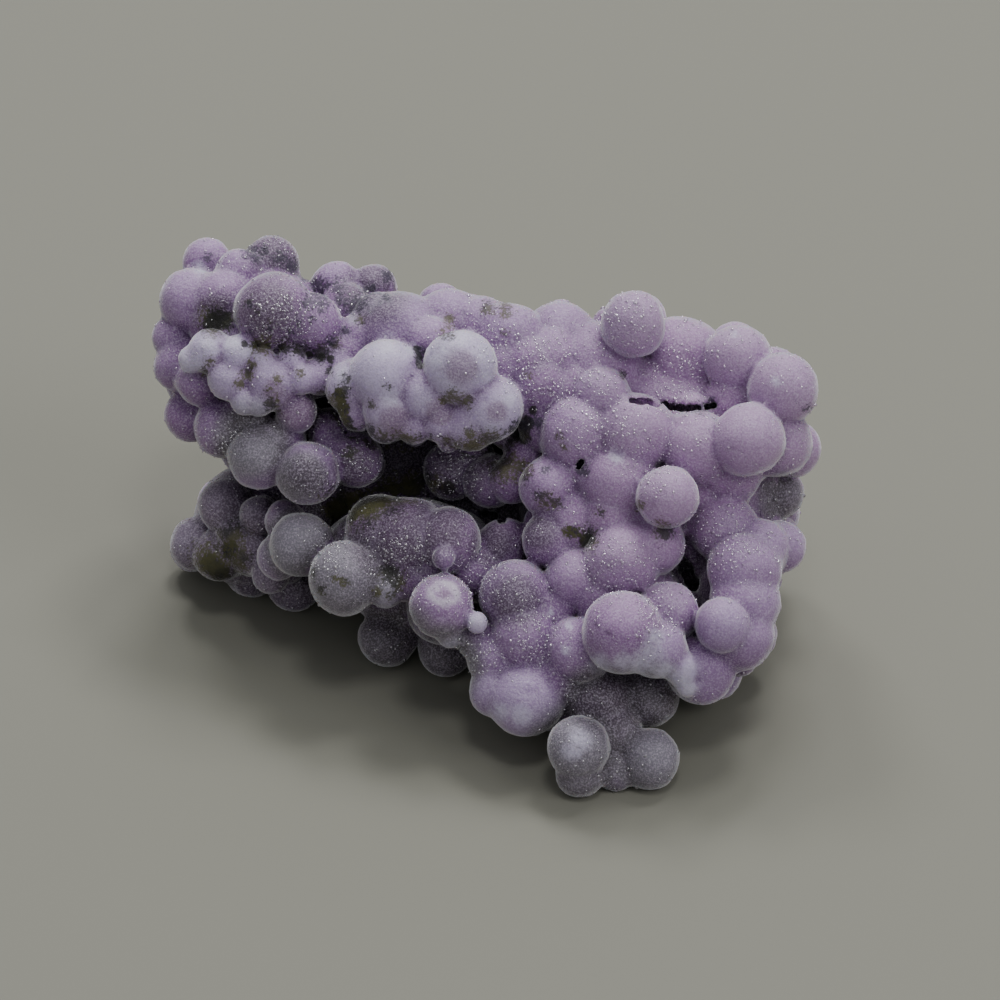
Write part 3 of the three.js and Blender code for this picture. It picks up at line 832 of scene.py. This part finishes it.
# %% Store it on the mesh
BLOCK_ACROSS, BLOCK_UP = (0, 10), (-9, -4)
COLUMN_ACROSS, COLUMN_DOWN = (12, 14), (-1, 2)
COLUMN_LESS_ROSY = 0.7
WORN_FADE = (0.05, 0.3)
PAINTED_SHADE_FADE = SOIL_FADE = (0, 0.6)

rosy = between(at_across, *BLOCK_ACROSS) * between(at_up, *BLOCK_UP) * (1 - grey)
rosy *= 1 - COLUMN_LESS_ROSY * between(at_across, *COLUMN_ACROSS) * between(-at_up, *COLUMN_DOWN)


def keep(piece, **values):
    """Stores one number for every point of a mesh, under the names that the shader reads."""
    for name, numbers in values.items():
        attribute = piece.data.attributes.new(name, "FLOAT", "POINT")
        attribute.data.foreach_set("value", np.asarray(numbers, np.float32))


known = {
    "rise": rise,
    "sky": sky,
    "seam_highlight": seam_highlight,
    "crease_shade": crease_shade,
    "pale": pale,
    "grey": grey,
    "moss": moss,
    "specks": specks,
    "frost_and_rim_highlight": marked(FROST_AND_RIM_HIGHLIGHT),
    "ring": ring,
    "worn": np.maximum(between(marked(WORN), *WORN_FADE), ring_middle),
    "painted_shade": between(marked(PAINTED_SHADE), *PAINTED_SHADE_FADE),
    "soil": between(marked(SOIL), *SOIL_FADE),
    "rosy": rosy,
}
keep(agate, **known)
print("stored:", ", ".join(known))

# %% [markdown]
# ## Writing a finish
# Shader maths reads best as the sum that it is. This small class wraps a socket, and every operator on it
# adds the Math node for it. A second class holds a material and makes every other node by one method.

# %% A socket with arithmetic
class Wire:
    """The output of a node."""

    def __init__(self, finish, socket):
        self.finish = finish
        self.socket = socket

    def math(self, operation, *values):
        return self.finish.node("ShaderNodeMath", {"operation": operation}, dict(enumerate(values)))

    def __add__(self, other):
        return self.math("ADD", self, other)

    def __sub__(self, other):
        return self.math("SUBTRACT", self, other)

    def __rsub__(self, other):
        return self.math("SUBTRACT", other, self)

    def __mul__(self, other):
        return self.math("MULTIPLY", self, other)

    __radd__ = __add__
    __rmul__ = __mul__

    def from_to(self, low, high):
        """0 at low, 1 at high, smooth between."""
        settings = {"interpolation_type": "SMOOTHSTEP"}
        inputs = {"Value": self, "From Min": low, "From Max": high}
        return self.finish.node("ShaderNodeMapRange", settings, inputs)


class Finish:
    """A material, with one method for its nodes."""

    def __init__(self, name):
        self.material = bpy.data.materials.new(name)
        self.material.use_nodes = True
        self.tree = self.material.node_tree
        self.tree.nodes.clear()

    def node(self, kind, settings=None, inputs=None, output=0):
        """A node with its settings set first, then the values or wires of its sockets."""
        made = self.tree.nodes.new(kind)
        for key, value in (settings or {}).items():
            setattr(made, key, value)
        for key, value in (inputs or {}).items():
            socket = made.inputs[key]
            if isinstance(value, Wire):
                self.tree.links.new(value.socket, socket)
            elif socket.type == "RGBA":
                socket.default_value = (*value, 1)
            else:
                socket.default_value = value
        return Wire(self, made.outputs[output]) if len(made.outputs) else None

    def point_value(self, name):
        """What each point of the mesh knows under that name."""
        return self.node("ShaderNodeAttribute", {"attribute_name": name}, output="Fac")

    def mix(self, share, first, second):
        """The first colour, with that share of the second."""
        return self.node("ShaderNodeMix", {"data_type": "RGBA"}, {0: share, 6: first, 7: second}, output=2)

    def noise(self, place, scale, detail, roughness):
        inputs = {"Vector": place, "Scale": scale, "Detail": detail, "Roughness": roughness}
        return self.node("ShaderNodeTexNoise", {}, inputs)

    def shader(self, **inputs):
        """The main shader, with the constants of its sockets set directly."""
        sockets = {name.replace("_", " "): value for name, value in inputs.items()}
        return self.node("ShaderNodeBsdfPrincipled", {}, sockets)

    def finished(self, shader):
        """The material, with that shader as its surface."""
        self.node("ShaderNodeOutputMaterial", {}, {"Surface": shader})
        return self.material


def paint(red, green, blue):
    """A colour given as a painter reads it off a screen, 0 to 255, as the light that it stands for."""
    parts = [value / 255 for value in (red, green, blue)]
    return tuple(v / 12.92 if v <= 0.04045 else ((v + 0.055) / 1.055) ** 2.4 for v in parts)

# %% [markdown]
# ## The chalcedony
# The stone has three depths of colour, deep in the hollows, middle on most of it and pale on the tips, each
# of them violet, or grey near the floor, or rosy on the right block. How far a point goes from deep towards
# middle and tip is painted light and shade: further where it stands out and where it sees much sky, and on
# the rosy right block. Over that lie thin coats, from frost to dark specks, each with its strength and
# colour; the seam coat and part of the frost are painted highlight, and the crease, hollow and painted
# shade coats are painted shade. Four noises, with scale, detail and roughness, keep all edges uneven. A
# pair of numbers says where a share starts and where it is full.

# %% The colour of the stone
VIOLET = {"deep": paint(114, 70, 130), "middle": paint(164, 124, 174), "tip": paint(176, 154, 194)}
GREY = {"deep": paint(70, 68, 66), "middle": paint(130, 126, 134), "tip": paint(128, 127, 134)}
ROSY = {"deep": paint(150, 106, 160), "middle": paint(171, 130, 178), "tip": paint(182, 153, 190)}
CHALKY = paint(212, 204, 232)
MOSS_BLACK = paint(28, 28, 20)
MOSS_GREEN = paint(88, 86, 46)
COATS = {
    # frost, partly painted highlight: pale rims along the lower edges of the large front grapes
    "frost_and_rim_highlight": (0.8, paint(214, 208, 232)),
    "worn": (0.7, paint(134, 106, 136)),
    # painted shade: dark violet over the places in shadow
    "painted_shade": (0.75, paint(64, 46, 66)),
    # painted highlight: a thin pale line along each seam, where the point sees the sky
    "seam_highlight": (0.4, paint(206, 188, 218)),
    # painted shade: creases darken towards the deep colour
    "crease_shade": (0.7, "deep"),
    # painted shade: near-black where the point sees almost no sky
    "hollow": (0.9, paint(40, 26, 38)),
    "flecks": (0.22, paint(96, 70, 104)),
    "grain": (0.36, paint(226, 214, 234)),
    "ring": (0.65, paint(226, 220, 232)),
    "soil": (0.92, paint(30, 28, 22)),
    "moss": (0.85, "moss"),
    "specks": (0.8, paint(46, 42, 60)),
}
NOISES = {
    "grain": (9000.0, 2.0, 0.6),
    "drift": (420.0, 3.0, 0.55),
    "flecks": (5200.0, 4.0, 0.7),
    "patches": (1300.0, 3.0, 0.6),
}
# Painted light: how much standing out, seeing sky and the rosy right block lighten the colour, plus a
# random drift.
RISE_LIGHT, SKY_LIGHT, ROSY_LIGHT, DRIFT_LIGHT = 0.25, 0.7, 0.2, 0.5
ROSY_IN_DEEP, TIP_BY_LIGHT = 0.8, 0.35
CHALK_BASE, CHALK_BY_RISE = 0.55, 0.4
FROSTING, CLOTTING, SOIL_FLECKS = (1.3, 0.8, 0.5, 0.9), (0.9, 0.6, 1.7, 1.5), 1.4
MIDDLE_BY_LIGHT, TIP_BY_PALENESS, CHALK_BY_PALENESS = (0.1, 1.0), (0.35, 1.15), (0.5, 1.05)
FROST_EDGE, SOIL_EDGE, CLOT_EDGE = (0.0, 0.9), (0.0, 0.5), (0.0, 0.35)
HOLLOW_SHADE_SKY, CLEAN_SKY = (0.04, 0.3), (0.05, 0.4)
DARK_FLECKS, BRIGHT_GRAINS, GREEN_MOSS = (0.6, 0.35), (0.42, 0.68), (0.4, 0.62)


def stone_colour(f, here):
    """The colour of a point with painted light and shade, its grain, flecks, and 1 where clean and sky-lit.
    """
    at = {name: f.point_value(name) for name in known}
    grain, drift, flecks, patches = (f.noise(here, *NOISES[name]) for name in NOISES)

    # Painted light and shade: lit grows where the point stands out, sees sky and lies on the rosy right
    # block.
    lit = at["rise"] * RISE_LIGHT + at["sky"] * SKY_LIGHT + at["rosy"] * ROSY_LIGHT
    lit = (lit + (drift - 0.5) * DRIFT_LIGHT).from_to(*MIDDLE_BY_LIGHT)
    depths = {}
    rosiness = {"deep": at["rosy"] * ROSY_IN_DEEP, "middle": at["rosy"], "tip": at["rosy"]}
    for depth, rosy_share in rosiness.items():
        depths[depth] = f.mix(rosy_share, f.mix(at["grey"], VIOLET[depth], GREY[depth]), ROSY[depth])
    colour = f.mix(lit, depths["deep"], depths["middle"])
    colour = f.mix((at["pale"] + lit * TIP_BY_LIGHT).from_to(*TIP_BY_PALENESS), colour, depths["tip"])
    chalky = (at["pale"] * (CHALK_BASE + at["rise"] * CHALK_BY_RISE)).from_to(*CHALK_BY_PALENESS)
    colour = f.mix(chalky, colour, CHALKY)

    def broken_up(mark, by_mark, by_patches, by_flecks, less):
        """A soft mark with uneven edges: its share, more on patches and flecks, and less everywhere."""
        return mark * by_mark + patches * by_patches + flecks * by_flecks - less

    covered = {
        **at,
        "frost_and_rim_highlight": broken_up(at["frost_and_rim_highlight"], *FROSTING).from_to(*FROST_EDGE),
        "seam_highlight": at["seam_highlight"] * at["sky"],
        "hollow": 1 - at["sky"].from_to(*HOLLOW_SHADE_SKY),
        "flecks": flecks.from_to(*DARK_FLECKS),
        "grain": grain.from_to(*BRIGHT_GRAINS),
        "soil": (at["soil"] + flecks * SOIL_FLECKS - 1).from_to(*SOIL_EDGE),
        "moss": broken_up(at["moss"], *CLOTTING).from_to(*CLOT_EDGE),
        "specks": broken_up(at["specks"], *CLOTTING).from_to(*CLOT_EDGE),
    }
    moss_colour = f.mix(drift.from_to(*GREEN_MOSS), MOSS_BLACK, MOSS_GREEN)
    mixed = {"deep": depths["deep"], "moss": moss_colour}
    for name, (strength, tint) in COATS.items():
        colour = f.mix(covered[name] * strength, colour, mixed[tint] if tint in mixed else tint)
    clean = (1 - at["soil"]) * (1 - covered["moss"]) * (1 - covered["specks"])
    return colour, grain, flecks, clean * at["sky"].from_to(*CLEAN_SKY)


# %% [markdown]
# The stone is translucent and sugary: light spreads inside it, and its grain of a tenth of a millimetre
# dulls it. Where the skin is seen edge-on a second, chalkier shader takes over, as a pale shell round each
# grape: a painted sheen, with fine white dust, that stands in for light through the frosted edge. It lies
# only on clean places that see the sky.

# %% Chalcedony
PIT_SCALE = 6500.0
BUMP_DEPTH = 0.1
GRAIN_RELIEF, PIT_RELIEF, FLECK_RELIEF = 0.4, 0.3, 0.5
LIGHT_SPREAD = 2.0
DUST_AND_SHEEN_LIGHT_SPREAD = 0.8
DUST_AND_SHEEN_WHITE = paint(236, 228, 244)
DUST_AND_SHEEN_COVER = 0.45
RIM_FROM, RIM_TO = 0.45, 0.95
RIM_STRENGTH = 0.8

f = Finish("chalcedony")
here = f.node("ShaderNodeTexCoord", {}, {}, output="Object")
colour, grain, flecks, clean = stone_colour(f, here)
pits = f.node("ShaderNodeTexVoronoi", {}, {"Vector": here, "Scale": PIT_SCALE})
relief = grain * GRAIN_RELIEF + pits * PIT_RELIEF + flecks * FLECK_RELIEF
normal = f.node("ShaderNodeBump", {}, {"Strength": 0.9, "Distance": BUMP_DEPTH * MM, "Height": relief})
stone_shader = f.shader(
    Base_Color=colour,
    Roughness=(0.42 + grain * 0.25),
    Normal=normal,
    IOR=1.54,
    Subsurface_Weight=0.65,
    Subsurface_Radius=(1.0, 0.85, 1.0),
    Subsurface_Scale=LIGHT_SPREAD * MM,
    Sheen_Weight=1.0,
    Sheen_Roughness=0.25,
)
dust_and_sheen = f.shader(
    Base_Color=f.mix(DUST_AND_SHEEN_COVER, colour, DUST_AND_SHEEN_WHITE),
    Roughness=0.6,
    Normal=normal,
    Subsurface_Weight=0.3,
    Subsurface_Scale=DUST_AND_SHEEN_LIGHT_SPREAD * MM,
    Sheen_Weight=1.0,
)
# Painted sheen: a pale shell where the skin is seen edge-on, on clean places that see the sky.
edge_on = f.node("ShaderNodeLayerWeight", {}, {"Blend": 0.5}, output="Facing")
rim = edge_on.from_to(RIM_FROM, RIM_TO) * clean * RIM_STRENGTH
stone_with_dust_and_sheen = f.node("ShaderNodeMixShader", {}, {0: rim, 1: stone_shader, 2: dust_and_sheen})
agate.data.materials.append(f.finished(stone_with_dust_and_sheen))
print("chalcedony:", len(f.tree.nodes), "nodes")

# %% [markdown]
# The solid model's cluster goes out of sight, and the fine skin takes its place on the same body.

# %% The agate replaces the solid model's cluster
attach(agate, "root")
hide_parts("grape_agate")

# %% [markdown]
# ## Glints
# Druzy chalcedony is dusted with quartz crystals of a tenth of a millimetre. A bump can't make them flash,
# because a flash comes from one flat facet that happens to face the lamp. So they are real: thousands of
# six-sided tips, each leaning its own way and rooted in the skin, in one mesh. They are scattered by area,
# with more of them in patches and where the photographed stone glitters, and fewer on pale or mossy places.

# %% Quartz tips
TIP_COUNT = 15000
TIP_SIDES = 6
TIP_RADIUS = 0.095
TIP_SPREAD = 0.35
LARGEST_TIP = 1.6
TIP_ROOT = 0.6
TIP_PEAK = 0.5
TIP_LEAN = 0.55
PATCH_SIZE = 2.6
EVERYWHERE, IN_PATCHES, IN_GLITTER = 0.1, 0.5, 1.6
PATCH_EDGE, GLITTER_FADE = (-0.3, 0.7), (0, 0.5)
PALE_BARE, MOSS_HIDES = 1.15, 0.6
GLITTER = {
    1.4: [(-9.6, 3.9), (-8.1, 2.3)],
    2.0: [(-16.7, 4.1), (-10.9, -2.9), (-1.0, -4.6), (9.0, 2.0), (-1.5, -9.0), (9.5, -6.5), (2.0, -8.0)],
    2.4: [(-3.0, 1.7), (-6.0, -3.6), (-13.2, 10.8), (6.5, -4.0)],
    2.6: [(7.5, 10.5), (10.5, 7.5)],
    2.8: [(13.0, -1.8)],
    3.0: [(5.4, 5.4)],
    3.6: [(1.2, 8.4)],
}

draw = np.random.default_rng(23)
corners = points[faces]
areas = 0.5 * np.linalg.norm(np.cross(corners[:, 1] - corners[:, 0], corners[:, 2] - corners[:, 0]), axis=1)
patches = between(cloud(corners[:, 0], PATCH_SIZE, seed=9), *PATCH_EDGE)
glitter = between(marked(GLITTER), *GLITTER_FADE)[faces[:, 0]]
druse = areas * (EVERYWHERE + IN_PATCHES * patches + IN_GLITTER * glitter)
druse = druse * (PALE_BARE - pale[faces[:, 0]]) * (1 - MOSS_HIDES * moss[faces[:, 0]])
chosen = draw.choice(len(faces), TIP_COUNT, p=druse / druse.sum())
u, v = np.sort(draw.uniform(0, 1, (2, TIP_COUNT, 1)), axis=0)
roots = u * corners[chosen, 0] + (v - u) * corners[chosen, 1] + (1 - v) * corners[chosen, 2]
outward = normals[faces[chosen, 0]] + TIP_LEAN * draw.normal(0, 1, (TIP_COUNT, 3))
outward /= np.linalg.norm(outward, axis=1, keepdims=True)
side = np.cross(outward, draw.normal(0, 1, (TIP_COUNT, 3)))
side /= np.linalg.norm(side, axis=1, keepdims=True)
other_side = np.cross(outward, side)
size = TIP_RADIUS * np.minimum(draw.lognormal(0, TIP_SPREAD, (TIP_COUNT, 1)), LARGEST_TIP)
turns = [k * math.tau / TIP_SIDES for k in range(TIP_SIDES)]
rim = [
    roots + size * (math.cos(turn) * side + math.sin(turn) * other_side - TIP_ROOT * outward)
    for turn in turns
]
peak = roots + outward * size * TIP_PEAK
tip_points = np.stack([*rim, peak], axis=1).reshape(-1, 3)
tip_points[:, 2] = np.maximum(tip_points[:, 2], 0)
first = (TIP_SIDES + 1) * np.arange(TIP_COUNT)[:, None]
sides = [[k, (k + 1) % TIP_SIDES, TIP_SIDES] for k in range(TIP_SIDES)]
base = [[0, k + 1, k] for k in range(1, TIP_SIDES - 1)]
tip_faces = np.concatenate([first + np.array(triangle) for triangle in sides + base])
tips = new_mesh("quartz_tips", tip_points, tip_faces)
keep(tips, **{name: np.repeat(values[faces[chosen, 0]], TIP_SIDES + 1) for name, values in known.items()})
print(TIP_COUNT, "quartz tips,", len(tip_faces), "triangles")

# %% [markdown]
# The tips take the colour of the stone below them, a little whiter, under a very glossy coat. The coat
# bends light more than quartz does, because each tip has to flash for the several real ones in its place.

# %% Quartz
QUARTZ_WHITE = paint(236, 230, 242)
QUARTZ_COVER = 0.12

f = Finish("quartz")
here = f.node("ShaderNodeTexCoord", {}, {}, output="Object")
colour, grain, flecks, clean = stone_colour(f, here)
quartz_shader = f.shader(
    Base_Color=f.mix(QUARTZ_COVER, colour, QUARTZ_WHITE),
    Roughness=(0.1 + grain * 0.06),
    IOR=1.55,
    Specular_IOR_Level=1.0,
    Coat_Weight=1.0,
    Coat_Roughness=0.08,
    Coat_IOR=3.0,
)
tips.data.materials.append(f.finished(quartz_shader))
print("quartz:", len(f.tree.nodes), "nodes")
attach(tips, "root")
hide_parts("grape_agate")

# %% [markdown]
# ## Studio
# A plain pale floor, far larger than the stone.

# %% Floor
FLOOR_SIZE = 1.2

floor_mesh = bpy.data.meshes.new("floor")
h = FLOOR_SIZE / 2
floor_mesh.from_pydata([(-h, -h, 0), (h, -h, 0), (h, h, 0), (-h, h, 0)], [], [(0, 1, 2, 3)])
floor = bpy.data.objects.new("floor", floor_mesh)
bpy.context.collection.objects.link(floor)
floor_finish = Finish("floor")
floor_shader = floor_finish.shader(Base_Color=paint(134, 133, 122), Roughness=0.75)
floor.data.materials.append(floor_finish.finished(floor_shader))

# %% [markdown]
# A wide soft window overhead and a little behind gives the shading, with a soft fill from the room in
# front. Four small lamps are there for the glints, because a facet needs a small bright source to mirror.

# %% Lamps
LAMPS = [
    ("window", (0.05, 0.5, 0.62), 0.6, 0.98),
    ("spark", (0.06, 0.38, 0.55), 0.14, 1.05),
    ("spark", (-0.14, 0.4, 0.5), 0.14, 0.9),
    ("spark", (0.2, 0.25, 0.6), 0.14, 1.05),
    ("spark", (0.05, -0.2, 0.72), 0.14, 0.75),
    ("room", (0.5, -0.3, 0.5), 0.3, 1.0),
]
LAMP_TARGET = Vector((0, 0, 0.01))
SKY_COLOUR = (0.95, 0.98, 1.0, 1)
SKY_STRENGTH = 0.33

for name, place, size, power in LAMPS:
    light = bpy.data.lights.new(name, "AREA")
    light.size = size
    light.energy = power
    holder = bpy.data.objects.new(name, light)
    bpy.context.collection.objects.link(holder)
    holder.location = place
    holder.rotation_euler = (LAMP_TARGET - holder.location).to_track_quat("-Z", "Y").to_euler()

world = bpy.data.worlds.new("studio")
world.use_nodes = True
world.node_tree.nodes["Background"].inputs["Color"].default_value = SKY_COLOUR
world.node_tree.nodes["Background"].inputs["Strength"].default_value = SKY_STRENGTH
bpy.context.scene.world = world
print(len(LAMPS), "lamps")
